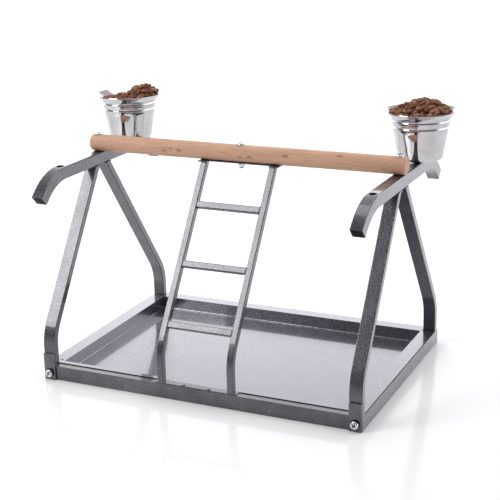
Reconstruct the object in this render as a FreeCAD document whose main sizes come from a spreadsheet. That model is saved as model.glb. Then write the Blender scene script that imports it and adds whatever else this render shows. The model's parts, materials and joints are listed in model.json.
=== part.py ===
"""Parrot play stand: a rectangular tube base with a lift-out tray, two side frames that
carry a wooden perch and two feeding cups, and a ladder from the base up to the perch.

Frame: +Z up, origin on the ground under the middle of the base. X runs along the perch and
Y runs from the front (the side with the ladder's foot, at -Y) to the back. Millimetres.
"""
import FreeCAD, Part
import math
import os
import re
import Sketcher

doc = FreeCAD.newDocument("ParrotStand")
nodes = []
vector = FreeCAD.Vector
constraint = Sketcher.Constraint
X_AXIS = vector(1, 0, 0)
Z_AXIS = vector(0, 0, 1)

# --------------------------------------------------------------------------- driving sizes
SIZES = {
    # base frame, mitred rectangular tube
    "base_width": 550,
    "base_depth": 384,
    "rail_height": 24,
    "rail_width": 20,
    "rail_wall": 1.5,
    # square tube of the arms
    "tube_side": 20,
    "tube_wall": 1.5,
    "tube_corner": 2,
    "tube_inner_corner": 1,
    # arms
    "arm_height": 342,
    "arm_bend_start": 117.5,
    "arm_bend_radius": 90,
    "arm_bend_angle": 43,
    "arm_tail": 11,
    "toy_hole_reach": 122,
    "cup_reach": 106,
    "arm_hole_width": 12.6,
    # legs, flat rectangular tube
    "leg_width": 21,
    "leg_depth": 11,
    "leg_wall": 1.2,
    "leg_corner": 1,
    "leg_inner_corner": 0.5,
    "leg_bend_radius": 75,
    "front_leg_bend_height": 52,
    "front_leg_reach": 25.4,
    "rear_leg_bend_height": 50.5,
    "rear_leg_reach": 7.9,
    "rear_leg_inset": 5,
    # lap plates that screw the front legs to the base
    "lap_width": 20,
    "lap_height": 45,
    "lap_thickness": 3,
    "lap_corner": 2,
    # perch
    "perch_width": 28,
    "perch_overhang": 2,
    "perch_chamfer": 3.5,
    "seat_depth": 0.6,
    # ladder
    "ladder_width": 131.5,
    "ladder_tube": 10.5,
    "ladder_wall": 1.2,
    "ladder_corner": 1.2,
    "ladder_inner_corner": 0.6,
    "ladder_setback": 1,
    "ladder_bend_height": 57,
    "ladder_bend_radius": 75,
    "ladder_aim": 1.3,
    "rung_first": 39,
    "rung_spacing": 100,
    "rung_count": 3,
    "ladder_plate_length": 142,
    "ladder_plate_thickness": 1.5,
    "top_plate_width": 16,
    "top_plate_tab": 1,
    "foot_rivet_reach": 22,
    "foot_rivet_setback": 3.6,
    # tray
    "sheet": 1.2,
    "tray_floor_height": 3.5,
    "tray_side_gap": 2.5,
    "tray_end_gap": 0.8,
    "tray_edge_inset": 0.5,
    "tray_front_setback": 13,
    "tray_notch_gap": 1,
    "tray_rear_gap": 3.5,
    "tray_bend": 2,
    "tray_hole_width": 4,
    "tray_hole_side_inset": 17,
    "tray_hole_end_inset": 25,
    # cups
    "cup_height": 78,
    "cup_rim_width": 118,
    "cup_neck_width": 95,
    "cup_neck_height": 67,
    "cup_base_width": 72,
    "cup_corner": 7,
    "cup_wall": 0.8,
    "cup_lip": 1.2,
    "bead_height": 5,
    "bead_crown": 1.7,
    "bead_depth": 1,
    "lower_bead_rise": 52,
    "upper_bead_rise": 62.5,
    # spigot under each cup
    "spigot_width": 12,
    "spigot_length": 12,
    "spigot_flange_width": 20,
    "spigot_flange": 2,
    # plastic caps in the arms' ends
    "cap_flange": 2,
    "cap_plug_length": 10,
    "cap_plug_wall": 1.5,
    "cap_plug_gap": 0.2,
    # screws, washers, nuts and rivets
    "screw_width": 6,
    "screw_gap": 0.2,
    "screw_excess": 1.5,
    "thread_gap": 0.05,
    "shank_root": 0.5,
    "head_width": 13,
    "head_height": 4,
    "head_edge": 1.8,
    "head_recess_length": 6.5,
    "head_recess_width": 1.3,
    "head_recess_depth": 2,
    "washer_width": 14.5,
    "washer_thickness": 2,
    "nut_width": 10,
    "nut_height": 5,
    "cap_nut_height": 9.5,
    "cap_nut_cover": 2,
    "cup_screw_width": 4,
    "cup_screw_reach": 7,
    "cup_screw_excess": 2,
    "cup_head_width": 8,
    "cup_head_height": 2.6,
    "cup_head_edge": 1,
    "cup_head_recess_length": 4,
    "cup_head_recess_width": 1,
    "cup_head_recess_depth": 1.5,
    "rivet_width": 3.2,
    "rivet_head_width": 6,
    "rivet_head_height": 1.4,
    "rivet_tail_width": 4.6,
    "rivet_tail_length": 4,
    # how far a cut runs on past what it cuts
    "cut_margin": 0.5,
}

sheet = doc.addObject("Spreadsheet::Sheet", "Sizes")
for row, (alias, value) in enumerate(SIZES.items(), start=1):
    sheet.set(f"A{row}", alias)
    sheet.set(f"B{row}", str(value))
    sheet.setAlias(f"B{row}", alias)
doc.recompute()

ALIAS = re.compile(r"\b(" + "|".join(sorted(SIZES, key=len, reverse=True)) + r")\b")

# Places and sizes that several pieces share, as formulas on the sheet's cells.
SIDE = "((base_width - tube_side) / 2)"
FRONT = "(base_depth / 2)"
LEG_SIDE = "((base_width - leg_width) / 2)"
FRONT_LEG_ROW = "(base_depth / 2 - leg_depth / 2)"
FRONT_LEG_BEND = "(rail_height + front_leg_bend_height)"
REAR_LEG_ROW = "(base_depth / 2 - rear_leg_inset - leg_depth / 2)"
REAR_LEG_BEND = "(rail_height + rear_leg_bend_height)"
ARM_AXIS = "(arm_height - tube_side / 2)"
ARM_UNDERSIDE = "(arm_height - tube_side)"
PERCH_AXIS = "(arm_height + perch_width / 2)"
SEAT = "(arm_height + perch_width - seat_depth)"
SCREW_HOLE = "(screw_width / 2 + screw_gap)"
LADDER_SIDE = "((ladder_width - ladder_tube) / 2)"
LADDER_ROW = "(base_depth / 2 - ladder_setback - ladder_tube / 2)"
LADDER_FOOT = "(rail_height + ladder_plate_thickness)"
LADDER_BEND = "(rail_height + ladder_bend_height)"
LADDER_TOP = "(arm_height - ladder_plate_thickness)"
LADDER_LEAN = f"atan(({LADDER_ROW} + ladder_aim) / ({PERCH_AXIS} - {LADDER_BEND}))"
LADDER_TOP_FRONT = (f"(({PERCH_AXIS} - {LADDER_TOP}) * tan({LADDER_LEAN}) - ladder_aim"
                    f" + ladder_tube / 2 / cos({LADDER_LEAN}))")
FOOT_RIVET_ROW = "(base_depth / 2 - ladder_setback - foot_rivet_setback)"
ARM_CORNER = "(arm_bend_start + arm_bend_radius * tan(arm_bend_angle / 2))"
ARM_LEG = "(arm_bend_radius * tan(arm_bend_angle / 2) + arm_tail)"
ARM_END = f"({ARM_CORNER} + {ARM_LEG} * cos(arm_bend_angle))"
ARM_DROP = f"({ARM_LEG} * sin(arm_bend_angle))"
TRAY_EDGE = "(base_depth / 2 - tray_front_setback)"
PAN_SIDE = "(base_width / 2 - rail_width - tray_side_gap)"
PAN_END = "(base_depth / 2 - rail_width - tray_end_gap)"
CORNER_SCREW_SEAT = "(base_depth / 2 + lap_thickness + washer_thickness)"

# The outside width and depth of each kind of tube.
TUBES = {"tube": ("tube_side", "tube_side"),
         "leg": ("leg_width", "leg_depth"),
         "ladder": ("ladder_tube", "ladder_tube")}

# How near two heights must be to count as the same.
SAME = 0.0001


# ------------------------------------------------------------------------- building helpers
gauge = doc.addObject("App::FeaturePython", "Gauge")
gauge.addProperty("App::PropertyFloat", "Reading")


def formula(text):
    """The sheet's cells, named by their aliases, in a FreeCAD expression."""
    return ALIAS.sub(r"Sizes.\1", text)


def reading(text):
    """What a formula comes to now: where a sketch's solver starts from."""
    gauge.setExpression("Reading", formula(text))
    gauge.recompute()
    return gauge.Reading


def bind(item, **properties):
    for name, text in properties.items():
        item.setExpression(name, formula(text))


def place(item, x="0", y="0", z="0", axis=Z_AXIS, turn="0"):
    """Put an object at x, y, z, turned about an axis, all from formulas."""
    item.Placement = FreeCAD.Placement(vector(), FreeCAD.Rotation(axis, reading(turn)))
    for name, text in zip("xyz", (x, y, z)):
        item.setExpression(f"Placement.Base.{name}", formula(text))
    if axis == X_AXIS:
        item.setExpression("Placement.Rotation.Angle", formula(turn))
    return item


def node(label, item):
    """Name a finished piece after its node."""
    item.Label = label
    nodes.append(item)
    return item


def sketch_on(body, name, plane, **offset):
    """A sketch on one of the body's own planes, moved off it by formulas."""
    sketch = body.newObject("Sketcher::SketchObject", name)
    for feature in body.Origin.OriginFeatures:
        if feature.Role == plane + "_Plane":
            sketch.AttachmentSupport = [(feature, "")]
    sketch.MapMode = "FlatFace"
    for direction, text in offset.items():
        sketch.setExpression(f"AttachmentOffset.Base.{direction}", formula(text))
    return sketch


def fix(sketch, kind, elements, text):
    """Add one dimension to a sketch and bind it to a formula."""
    number = sketch.addConstraint(constraint(kind, *elements, reading(text)))
    sketch.setExpression(f"Constraints[{number}]", formula(text))


def fix_point(sketch, element, point, across, along):
    fix(sketch, "DistanceX", (-1, 1, element, point), across)
    fix(sketch, "DistanceY", (-1, 1, element, point), along)


def point_at(across, along):
    return vector(reading(across), reading(along), 0)


def draw_polygon(sketch, points):
    """A closed outline through points given as pairs of formulas."""
    first = sketch.GeometryCount
    count = len(points)
    corners = [point_at(*point) for point in points]
    for step in range(count):
        sketch.addGeometry(Part.LineSegment(corners[step], corners[(step + 1) % count]))
    for step in range(count):
        following = first + (step + 1) % count
        sketch.addConstraint(constraint("Coincident", first + step, 2, following, 1))
    for step, point in enumerate(points):
        fix_point(sketch, first + step, 1, *point)


def draw_box(sketch, left, right, bottom, top):
    draw_polygon(sketch, [(left, bottom), (right, bottom), (right, top), (left, top)])


def draw_circle(sketch, across, along, radius):
    number = sketch.GeometryCount
    sketch.addGeometry(Part.Circle(point_at(across, along), Z_AXIS, reading(radius)))
    fix_point(sketch, number, 3, across, along)
    fix(sketch, "Radius", (number,), radius)


def draw_rounded_box(sketch, half_width, half_depth, radius):
    """A rectangle with round corners about the sketch's origin."""
    first = sketch.GeometryCount
    round_ = reading(radius)
    across = reading(half_width) - round_
    along = reading(half_depth) - round_
    bulge = round_ * 0.5 ** 0.5
    ways = [(1, -1), (1, 1), (-1, 1), (-1, -1)]
    last = vector(-across, -along - round_, 0)
    for number, (way_x, way_y) in enumerate(ways):
        middle = vector(way_x * across, way_y * along, 0)
        outward = vector(0, way_y * round_, 0)
        sideways = vector(way_x * round_, 0, 0)
        if number % 2:
            outward, sideways = sideways, outward
        arc_start = middle + outward
        arc_end = middle + sideways
        sketch.addGeometry(Part.LineSegment(last, arc_start))
        sketch.addGeometry(Part.Arc(arc_start, middle + vector(way_x * bulge, way_y * bulge, 0),
                                    arc_end))
        last = arc_end
    for step in range(8):
        following = first + (step + 1) % 8
        sketch.addConstraint(constraint("Tangent", first + step, 2, following, 1))
    for step in (0, 4):
        sketch.addConstraint(constraint("Horizontal", first + step))
        sketch.addConstraint(constraint("Vertical", first + step + 2))
    for step in (3, 5, 7):
        sketch.addConstraint(constraint("Equal", first + 1, first + step))
    fix(sketch, "Radius", (first + 1,), radius)
    fix(sketch, "DistanceY", (-1, 1, first, 1), f"-({half_depth})")
    fix(sketch, "DistanceX", (-1, 1, first + 2, 1), half_width)
    fix(sketch, "DistanceY", (-1, 1, first + 4, 1), half_depth)
    fix(sketch, "DistanceX", (-1, 1, first + 6, 1), f"-({half_width})")


def draw_tube(sketch, tube):
    """The hollow section of one kind of tube: its outside, then its inside."""
    width, depth = TUBES[tube]
    draw_rounded_box(sketch, f"{width} / 2", f"{depth} / 2", f"{tube}_corner")
    draw_rounded_box(sketch, f"{width} / 2 - {tube}_wall", f"{depth} / 2 - {tube}_wall",
                     f"{tube}_inner_corner")


def draw_route(sketch, start, corner, end, radius):
    """Two straight runs that meet at a corner, which an arc tangent to both rounds off.

    Two construction lines hold the start, the corner and the end."""
    first, turn, last = (point_at(*point) for point in (start, corner, end))
    way_in = (turn - first).normalize()
    way_out = (last - turn).normalize()
    half_turn = way_in.getAngle(way_out) / 2
    size = reading(radius)
    inward = (way_out - way_in).normalize()
    arc_start = turn - way_in * (size * math.tan(half_turn))
    arc_end = turn + way_out * (size * math.tan(half_turn))
    arc_middle = turn + inward * (size / math.cos(half_turn) - size)
    turns_left = way_in.cross(way_out).z > 0
    near, far = (1, 2) if turns_left else (2, 1)
    sketch.addGeometry(Part.LineSegment(first, arc_start))
    if turns_left:
        sketch.addGeometry(Part.Arc(arc_start, arc_middle, arc_end))
    else:
        sketch.addGeometry(Part.Arc(arc_end, arc_middle, arc_start))
    sketch.addGeometry(Part.LineSegment(arc_end, last))
    sketch.addGeometry(Part.LineSegment(first, turn), True)
    sketch.addGeometry(Part.LineSegment(turn, last), True)
    sketch.addConstraint(constraint("Coincident", 0, 1, 3, 1))
    sketch.addConstraint(constraint("Coincident", 3, 2, 4, 1))
    sketch.addConstraint(constraint("Coincident", 2, 2, 4, 2))
    fix_point(sketch, 3, 1, *start)
    fix_point(sketch, 3, 2, *corner)
    fix_point(sketch, 4, 2, *end)
    sketch.addConstraint(constraint("PointOnObject", 0, 2, 3))
    sketch.addConstraint(constraint("PointOnObject", 2, 1, 4))
    sketch.addConstraint(constraint("Tangent", 0, 2, 1, near))
    sketch.addConstraint(constraint("Tangent", 1, far, 2, 1))
    fix(sketch, "Radius", (1,), radius)


def pad(body, sketch, length, midplane=False, reverse=False):
    feature = body.newObject("PartDesign::Pad", "Pad")
    feature.Profile = sketch
    feature.Midplane = midplane
    feature.Reversed = reverse
    bind(feature, Length=length)
    return feature


def pocket(body, sketch, length=None, midplane=False, reverse=False):
    """A cut from the sketch, through everything where no length is given."""
    doc.recompute()
    before = body.Shape.Volume
    feature = body.newObject("PartDesign::Pocket", "Pocket")
    feature.Profile = sketch
    feature.Midplane = midplane
    feature.Reversed = reverse
    if length:
        bind(feature, Length=length)
    else:
        feature.Type = "ThroughAll"
    doc.recompute()
    if body.Shape.Volume >= before:
        raise RuntimeError(f"{body.Label}: a pocket cuts nothing")
    return feature


def dress(body, kind, picked, **size):
    """Round or chamfer the edges of the body's last feature that picked() accepts."""
    doc.recompute()
    base = body.Tip
    names = [f"Edge{number}" for number, edge in enumerate(base.Shape.Edges, start=1)
             if picked(edge)]
    if not names:
        raise RuntimeError(f"{body.Label}: no edge to dress")
    feature = body.newObject("PartDesign::" + kind, kind)
    feature.Base = (base, names)
    bind(feature, **size)
    return feature


def bent_tube(body, path, section, tube):
    """Sweep a tube's hollow section along the path sketch of a body."""
    draw_tube(section, tube)
    doc.recompute()
    feature = body.newObject("PartDesign::AdditivePipe", "Sweep")
    feature.Profile = section
    feature.Spine = (path, ["Edge1", "Edge2", "Edge3"])
    return feature


def primitive(kind, **properties):
    item = doc.addObject("Part::" + kind, kind)
    bind(item, **properties)
    return item


def join(kind, *items):
    """A Part boolean: MultiFuse of all, or Cut of the second from the first."""
    result = doc.addObject("Part::" + kind, kind)
    if kind == "Cut":
        result.Base, result.Tool = items
    else:
        result.Shapes = list(items)
    return result


def group(label, items):
    """Separate solids that share one node."""
    result = doc.addObject("Part::Compound", "Group")
    result.Links = items
    return node(label, result)


def edges_at_height(height):
    """Picks edges that lie flat at a height."""
    def picked(edge):
        box = edge.BoundBox
        return abs(box.ZMin - height) < SAME and abs(box.ZMax - height) < SAME
    return picked


# -------------------------------------------------------------------------------- base frame
def base_rail(label, length, screw_holes=False, rivet_holes=False):
    """One mitred rail, lying along the body's X with its outer face at Y = 0."""
    body = node(label, doc.addObject("PartDesign::Body", "Body"))
    outline = sketch_on(body, "Outline", "XY")
    half = f"{length} / 2"
    draw_polygon(outline, [(f"-{half}", "0"), (half, "0"),
                           (f"{half} - rail_width", "rail_width"),
                           (f"-{half} + rail_width", "rail_width")])
    pad(body, outline, "rail_height")
    bore = sketch_on(body, "Bore", "YZ")
    draw_box(bore, "rail_wall", "rail_width - rail_wall", "rail_wall", "rail_height - rail_wall")
    pocket(body, bore, midplane=True)
    if screw_holes:
        holes = sketch_on(body, "ScrewHoles", "XZ")
        for way in ("-", ""):
            draw_circle(holes, f"{way}{LEG_SIDE}", "rail_height / 2", SCREW_HOLE)
        pocket(body, holes, "rail_wall + cut_margin")
    if rivet_holes:
        holes = sketch_on(body, "RivetHoles", "XY", z="rail_height")
        for way in ("-", ""):
            draw_circle(holes, f"{way}foot_rivet_reach", f"{FRONT} - {FOOT_RIVET_ROW}",
                        "rivet_width / 2 + thread_gap")
        pocket(body, holes, "rail_wall + cut_margin")
    return body


place(base_rail("base_rail_front", "base_width", True, True), y=f"-{FRONT}")
place(base_rail("base_rail_rear", "base_width"), y=FRONT, turn="180")
place(base_rail("base_rail_left", "base_depth"), x="-base_width / 2", turn="270")
place(base_rail("base_rail_right", "base_depth"), x="base_width / 2", turn="90")


# -------------------------------------------------------------------------------------- tray
def tray():
    """A folded sheet pan whose flange rests on the rails, notched round the rear legs."""
    body = node("drip_tray", doc.addObject("PartDesign::Body", "Body"))
    edge_x = "(base_width / 2 - tray_edge_inset)"
    edge_y = "(base_depth / 2 - tray_edge_inset)"
    notch_x = "(base_width / 2 - leg_width - tray_notch_gap)"
    notch_y = "(base_depth / 2 - rear_leg_inset - leg_depth - tray_rear_gap)"
    flange = sketch_on(body, "Flange", "XY", z="rail_height")
    draw_polygon(flange, [
        (f"-{edge_x}", f"-{TRAY_EDGE}"), (edge_x, f"-{TRAY_EDGE}"),
        (edge_x, notch_y), (notch_x, notch_y),
        (notch_x, edge_y), (f"-{notch_x}", edge_y),
        (f"-{notch_x}", notch_y), (f"-{edge_x}", notch_y)])
    pad(body, flange, "sheet")
    pan = sketch_on(body, "Pan", "XY", z="rail_height")
    draw_box(pan, f"-{PAN_SIDE}", PAN_SIDE, f"-{PAN_END}", PAN_END)
    pad(body, pan, "rail_height - tray_floor_height + sheet", reverse=True)
    well = sketch_on(body, "Well", "XY", z="rail_height + sheet")
    draw_box(well, f"-{PAN_SIDE} + sheet", f"{PAN_SIDE} - sheet",
             f"-{PAN_END} + sheet", f"{PAN_END} - sheet")
    pocket(body, well, "rail_height + sheet - tray_floor_height")
    holes = sketch_on(body, "CornerHoles", "XY", z="rail_height + sheet")
    for way_x in ("-", ""):
        for way_y in ("-", ""):
            draw_circle(holes, f"{way_x}(base_width / 2 - tray_hole_side_inset)",
                        f"{way_y}(base_depth / 2 - tray_hole_end_inset)", "tray_hole_width / 2")
    pocket(body, holes, "sheet + cut_margin")
    dress(body, "Fillet", edges_at_height(sheet.tray_floor_height), Radius="tray_bend")


tray()


# ----------------------------------------------------------------------------------- side frames
def arm(label):
    """The bent top tube of a side frame, both ends turned down."""
    body = node(label, doc.addObject("PartDesign::Body", "Body"))
    for way in ("-", ""):
        path = sketch_on(body, "Path", "YZ")
        draw_route(path, ("0", "0"), (f"{way}{ARM_CORNER}", "0"),
                   (f"{way}{ARM_END}", f"-{ARM_DROP}"), "arm_bend_radius")
        section = sketch_on(body, "Section", "XZ")
        bent_tube(body, path, section, "tube")
    holes = sketch_on(body, "Holes", "XY", z="tube_side / 2 + cut_margin")
    draw_circle(holes, "0", "-toy_hole_reach", "arm_hole_width / 2")
    draw_circle(holes, "0", "cup_reach", "arm_hole_width / 2")
    draw_circle(holes, "0", "0", SCREW_HOLE)
    pocket(body, holes, "tube_side / 2 + cut_margin")
    return body


def leg(label, row, bend, reach):
    """A leg standing on the base at its row, bent in towards the arm's middle.

    Its middle meets the arm's underside at the reach given."""
    body = node(label, doc.addObject("PartDesign::Body", "Body"))
    past = f"(({row} - {reach}) * tube_side / ({ARM_UNDERSIDE} - {bend}))"
    path = sketch_on(body, "Path", "YZ")
    draw_route(path, (f"-{row}", "rail_height"), (f"-{row}", bend),
               (f"{past} - {reach}", "arm_height"), "leg_bend_radius")
    section = sketch_on(body, "Section", "XY", y=f"-{row}", z="rail_height")
    bent_tube(body, path, section, "leg")
    top = sketch_on(body, "Top", "XY", z=ARM_UNDERSIDE)
    draw_box(top, "-leg_width", "leg_width", f"-{FRONT}", FRONT)
    pocket(body, top, reverse=True)
    return body


def lap_plate(label):
    """The plate welded to a leg's foot that laps the rail and takes the corner screw."""
    body = node(label, doc.addObject("PartDesign::Body", "Body"))
    outline = sketch_on(body, "Outline", "XZ")
    draw_box(outline, "-lap_width / 2", "lap_width / 2", "0", "lap_height")
    draw_circle(outline, "0", "rail_height / 2", SCREW_HOLE)
    pad(body, outline, "lap_thickness")
    top = sheet.lap_height

    def upper_corner(edge):
        box = edge.BoundBox
        return abs(box.ZMin - top) < SAME and box.XLength < SAME and box.YLength > SAME

    dress(body, "Fillet", upper_corner, Radius="lap_corner")
    return body


def end_cap(label):
    """A plastic cap: a flange over the tube's end and a hollow plug inside it."""
    body = node(label, doc.addObject("PartDesign::Body", "Body"))
    flange = sketch_on(body, "Flange", "XY")
    draw_rounded_box(flange, "tube_side / 2", "tube_side / 2", "tube_corner")
    pad(body, flange, "cap_flange")
    plug = sketch_on(body, "Plug", "XY")
    outer = "(tube_side / 2 - tube_wall - cap_plug_gap)"
    draw_box(plug, f"-{outer}", outer, f"-{outer}", outer)
    inner = f"({outer} - cap_plug_wall)"
    draw_box(plug, f"-{inner}", inner, f"-{inner}", inner)
    pad(body, plug, "cap_plug_length", reverse=True)
    return body


for side, sign in (("left", "-"), ("right", "")):
    across = f"{sign}{SIDE}"
    foot = f"{sign}{LEG_SIDE}"
    place(arm(f"{side}_arm"), x=across, z=ARM_AXIS)
    place(leg(f"{side}_front_leg", FRONT_LEG_ROW, FRONT_LEG_BEND, "front_leg_reach"), x=foot)
    place(leg(f"{side}_rear_leg", REAR_LEG_ROW, REAR_LEG_BEND, "rear_leg_reach"),
          x=foot, turn="180")
    place(lap_plate(f"{side}_front_lap_plate"), x=foot, y=f"-{FRONT}")
    cap_height = f"{ARM_AXIS} - {ARM_DROP}"
    place(end_cap(f"{side}_front_cap"), x=across, y=f"-{ARM_END}", z=cap_height,
          axis=X_AXIS, turn="90 + arm_bend_angle")
    place(end_cap(f"{side}_rear_cap"), x=across, y=ARM_END, z=cap_height,
          axis=X_AXIS, turn="-90 - arm_bend_angle")


# ------------------------------------------------------------------------------------- perch
def perch():
    """The round wooden perch, drilled for its screws, with a flat seat under each head."""
    body = node("perch", doc.addObject("PartDesign::Body", "Body"))
    section = sketch_on(body, "Section", "YZ")
    draw_circle(section, "0", "0", "perch_width / 2")
    pad(body, section, "base_width + 2 * perch_overhang", midplane=True)
    dress(body, "Chamfer", lambda edge: edge.BoundBox.XLength < SAME, Size="perch_chamfer")
    seats = sketch_on(body, "Seats", "XY", z="perch_width / 2")
    holes = sketch_on(body, "Holes", "XY", z="perch_width / 2")
    for across in (f"-{SIDE}", "0", SIDE):
        draw_circle(seats, across, "0", "head_width / 2 + screw_gap")
        draw_circle(holes, across, "0", SCREW_HOLE)
    pocket(body, seats, "seat_depth")
    pocket(body, holes)
    return body


place(perch(), z=PERCH_AXIS)


# ------------------------------------------------------------------------------------ ladder
def ladder_rail(label):
    body = node(label, doc.addObject("PartDesign::Body", "Body"))
    path = sketch_on(body, "Path", "YZ")
    draw_route(path, (f"-{LADDER_ROW}", LADDER_FOOT), (f"-{LADDER_ROW}", LADDER_BEND),
               ("ladder_aim", PERCH_AXIS), "ladder_bend_radius")
    section = sketch_on(body, "Section", "XY", y=f"-{LADDER_ROW}", z=LADDER_FOOT)
    bent_tube(body, path, section, "ladder")
    top = sketch_on(body, "Top", "XY", z=LADDER_TOP)
    draw_box(top, "-ladder_tube", "ladder_tube", f"-{FRONT}", FRONT)
    pocket(body, top, reverse=True)
    return body


def rung(label, number):
    """A square tube between the rails, in line with their slope."""
    body = node(label, doc.addObject("PartDesign::Body", "Body"))
    section = sketch_on(body, "Section", "YZ")
    draw_tube(section, "ladder")
    pad(body, section, "ladder_width - 2 * ladder_tube", midplane=True)
    climb = f"(rung_first + {number} * rung_spacing)"
    place(body, y=f"-{LADDER_ROW} + {climb} * sin({LADDER_LEAN})",
          z=f"{LADDER_BEND} + {climb} * cos({LADDER_LEAN})",
          axis=X_AXIS, turn=f"-{LADDER_LEAN}")
    return body


def ladder_plate(label, outline, hole_places, hole_radius):
    """A flat bar across the ladder's width with this outline, drilled at the places given."""
    body = node(label, doc.addObject("PartDesign::Body", "Body"))
    sketch = sketch_on(body, "Outline", "XY")
    draw_polygon(sketch, outline)
    for across, along in hole_places:
        draw_circle(sketch, across, along, hole_radius)
    pad(body, sketch, "ladder_plate_thickness")
    return body


for side, sign in (("left", "-"), ("right", "")):
    place(ladder_rail(f"ladder_{side}_rail"), x=f"{sign}{LADDER_SIDE}")
rung_names = ["lower", "middle", "upper"]
for number in range(int(sheet.rung_count)):
    name = rung_names[number] if number < len(rung_names) else f"extra_{number}"
    rung(f"ladder_{name}_rung", number)
end = "(ladder_plate_length / 2)"
tab = "(ladder_width / 2 - ladder_tube - top_plate_tab)"
bar = "(top_plate_width / 2)"
# The top plate's ends reach forward over the rails.
place(ladder_plate("ladder_top_plate",
                   [(f"-{end}", f"-{LADDER_TOP_FRONT}"), (f"-{tab}", f"-{LADDER_TOP_FRONT}"),
                    (f"-{tab}", f"-{bar}"), (tab, f"-{bar}"),
                    (tab, f"-{LADDER_TOP_FRONT}"), (end, f"-{LADDER_TOP_FRONT}"),
                    (end, bar), (f"-{end}", bar)],
                   [("0", "0")], SCREW_HOLE), z=LADDER_TOP)
foot_front = "-(base_depth / 2 - ladder_setback)"
foot_rear = f"-({TRAY_EDGE} + tray_edge_inset)"
place(ladder_plate("ladder_foot_plate",
                   [(f"-{end}", foot_front), (end, foot_front), (end, foot_rear), (f"-{end}", foot_rear)],
                   [("-foot_rivet_reach", f"-{FOOT_RIVET_ROW}"), ("foot_rivet_reach", f"-{FOOT_RIVET_ROW}")],
                   "rivet_width / 2 + thread_gap"), z="rail_height")


# -------------------------------------------------------------------------------- feeding cups
def cup(label):
    """A spun cup with two beads below a flared rim. Its radius grows evenly to the neck."""
    body = node(label, doc.addObject("PartDesign::Body", "Body"))
    profile = sketch_on(body, "Profile", "XZ")
    slope = "((cup_neck_width - cup_base_width) / 2 / cup_neck_height)"

    def wall_radius(height, extra="0"):
        """The outside's radius at a height, in from the cup's axis."""
        return f"(cup_base_width / 2 + {slope} * ({height}) + {extra})"

    outside = [("0", "0"), (wall_radius("0"), "0")]
    for rise in ("lower_bead_rise", "upper_bead_rise"):
        for height, bulge in ((f"{rise} - bead_height / 2", "0"),
                              (f"{rise} - bead_crown / 2", "bead_depth"),
                              (f"{rise} + bead_crown / 2", "bead_depth"),
                              (f"{rise} + bead_height / 2", "0")):
            outside.append((wall_radius(height, bulge), height))
    outside.append((wall_radius("cup_neck_height"), "cup_neck_height"))
    outside.append(("cup_rim_width / 2", "cup_height - cup_lip"))
    outside.append(("cup_rim_width / 2", "cup_height"))
    inside = [("cup_rim_width / 2 - cup_wall", "cup_height"),
              ("cup_rim_width / 2 - cup_wall", "cup_height - cup_lip + cup_wall / 2"),
              (f"{wall_radius('cup_neck_height')} - cup_wall", "cup_neck_height + cup_wall / 2")]
    for across, along in reversed(outside[2:-3]):
        inside.append((f"{across} - cup_wall", along))
    inside.append((f"{wall_radius('cup_wall')} - cup_wall", "cup_wall"))
    inside.append(("0", "cup_wall"))
    draw_polygon(profile, outside + inside)
    turned = body.newObject("PartDesign::Revolution", "Turned")
    turned.Profile = profile
    turned.ReferenceAxis = (profile, ["V_Axis"])
    turned.Angle = 360
    base_radius = sheet.cup_base_width / 2
    dress(body, "Fillet", lambda edge: edges_at_height(0)(edge) and
          abs(edge.BoundBox.XLength / 2 - base_radius) < 0.01, Radius="cup_corner")
    dress(body, "Fillet", lambda edge: edges_at_height(sheet.cup_wall)(edge) and
          edge.BoundBox.XLength > base_radius, Radius="cup_corner - cup_wall")
    hole = sketch_on(body, "Hole", "XY", z="cup_wall + cut_margin")
    draw_circle(hole, "0", "0", "cup_screw_width / 2 + screw_gap")
    pocket(body, hole, "cup_wall + 2 * cut_margin")
    return body


def spigot(label):
    """The nylon plug under a cup: a flange that carries it and a stem that sits in the arm."""
    body = node(label, doc.addObject("PartDesign::Body", "Body"))
    flange = sketch_on(body, "Flange", "XY")
    draw_circle(flange, "0", "0", "spigot_flange_width / 2")
    pad(body, flange, "spigot_flange")
    stem = sketch_on(body, "Stem", "XY")
    draw_circle(stem, "0", "0", "spigot_width / 2")
    pad(body, stem, "spigot_length", reverse=True)
    bore = sketch_on(body, "Bore", "XY", z="spigot_flange")
    draw_circle(bore, "0", "0", "cup_screw_width / 2 + thread_gap")
    pocket(body, bore, "cup_screw_reach + cup_screw_excess")
    return body


# --------------------------------------------------------------------------------- fasteners
def pan_screw(head, width, length):
    """A cross-recessed pan-head screw, seat at Z = 0, head upwards.

    The head's own sizes start with its name: {head}_width, {head}_height and so on."""
    blank = primitive("Cylinder", Radius=f"{head}_width / 2", Height=f"{head}_height")
    doc.recompute()
    rounded = doc.addObject("Part::Fillet", "Head")
    rounded.Base = blank
    middle = reading(f"{head}_height / 2")
    reach = reading(f"{head}_edge")
    rounded.Edges = [(number, reach, reach)
                     for number, edge in enumerate(blank.Shape.Edges, start=1)
                     if edge.BoundBox.ZMin > middle]
    shank = primitive("Cylinder", Radius=f"{width} / 2", Height=f"{length} + shank_root")
    place(shank, z=f"-({length})")
    screw = join("MultiFuse", rounded, shank)
    slots = []
    for turn in (45, 135):
        slot = primitive("Box", Length=f"{head}_recess_length", Width=f"{head}_recess_width",
                         Height=f"{head}_height")
        turned = FreeCAD.Rotation(Z_AXIS, turn)
        slot.Placement = FreeCAD.Placement(vector(), turned)
        along = turned.multVec(X_AXIS)
        over = turned.multVec(vector(0, 1, 0))
        for name in "xy":
            shift = f"-{head}_recess_length / 2 * ({getattr(along, name):.9f})"
            shift += f" - {head}_recess_width / 2 * ({getattr(over, name):.9f})"
            bind(slot, **{f"Placement.Base.{name}": shift})
        bind(slot, **{"Placement.Base.z": f"{head}_height - {head}_recess_depth"})
        slots.append(slot)
    return join("Cut", screw, join("MultiFuse", *slots))


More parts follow.
